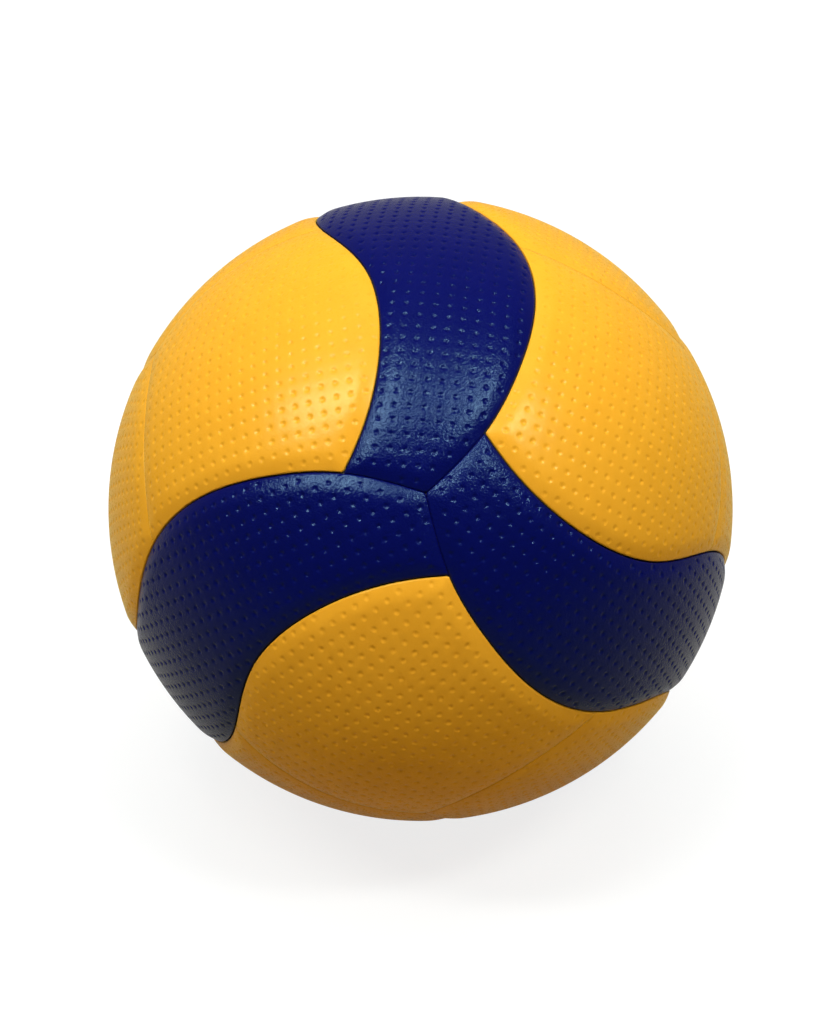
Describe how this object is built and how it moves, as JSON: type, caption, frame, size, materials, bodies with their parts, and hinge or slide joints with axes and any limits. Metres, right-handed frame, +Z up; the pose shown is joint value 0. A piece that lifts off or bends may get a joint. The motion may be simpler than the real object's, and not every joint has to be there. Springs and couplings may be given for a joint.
{
  "type": "volleyball",
  "caption": "Inflated indoor volleyball: curved blue and yellow microfibre panels on foam, over a rubber and thread carcass with a bladder and a needle valve.",
  "frame": {"origin": "centre of the ball", "axes": "+Z up through the middle of the top blue panel, +Y out through the valve, +X to the right seen from the front"},
  "size_m": [0.21, 0.2099, 0.21],
  "materials": {
    "blue_leather": "dimpled matt microfibre",
    "yellow_leather": "dimpled matt microfibre",
    "panel_foam": "closed-cell foam",
    "carcass_rubber": "matt",
    "winding_nylon": "thread set in rubber",
    "bladder_rubber": "smooth butyl",
    "valve_rubber": "moulded matt",
    "core_rubber": "soft moulded"
  },
  "bodies": {
    "root": {"blue_panel_top": "blue_leather", "blue_panel_bottom": "blue_leather", "blue_panel_right": "blue_leather", "blue_panel_left": "blue_leather", "blue_panel_back": "blue_leather", "blue_panel_front": "blue_leather", "yellow_panel_left_upper_1": "yellow_leather", "yellow_panel_left_upper_2": "yellow_leather", "yellow_panel_left_upper_3": "yellow_leather", "yellow_panel_left_lower_1": "yellow_leather", "yellow_panel_left_lower_2": "yellow_leather", "yellow_panel_left_lower_3": "yellow_leather", "yellow_panel_right_lower_1": "yellow_leather", "yellow_panel_right_lower_2": "yellow_leather", "yellow_panel_right_lower_3": "yellow_leather", "yellow_panel_right_upper_1": "yellow_leather", "yellow_panel_right_upper_2": "yellow_leather", "yellow_panel_right_upper_3": "yellow_leather", "blue_panel_top_foam": "panel_foam", "blue_panel_bottom_foam": "panel_foam", "blue_panel_right_foam": "panel_foam", "blue_panel_left_foam": "panel_foam", "blue_panel_back_foam": "panel_foam", "blue_panel_front_foam": "panel_foam", "yellow_panel_left_upper_1_foam": "panel_foam", "yellow_panel_left_upper_2_foam": "panel_foam", "yellow_panel_left_upper_3_foam": "panel_foam", "yellow_panel_left_lower_1_foam": "panel_foam", "yellow_panel_left_lower_2_foam": "panel_foam", "yellow_panel_left_lower_3_foam": "panel_foam", "yellow_panel_right_lower_1_foam": "panel_foam", "yellow_panel_right_lower_2_foam": "panel_foam", "yellow_panel_right_lower_3_foam": "panel_foam", "yellow_panel_right_upper_1_foam": "panel_foam", "yellow_panel_right_upper_2_foam": "panel_foam", "yellow_panel_right_upper_3_foam": "panel_foam", "carcass_cover": "carcass_rubber", "thread_winding": "winding_nylon", "bladder": "bladder_rubber", "valve_housing": "valve_rubber", "valve_core": "core_rubber"}
  },
  "joints": []
}
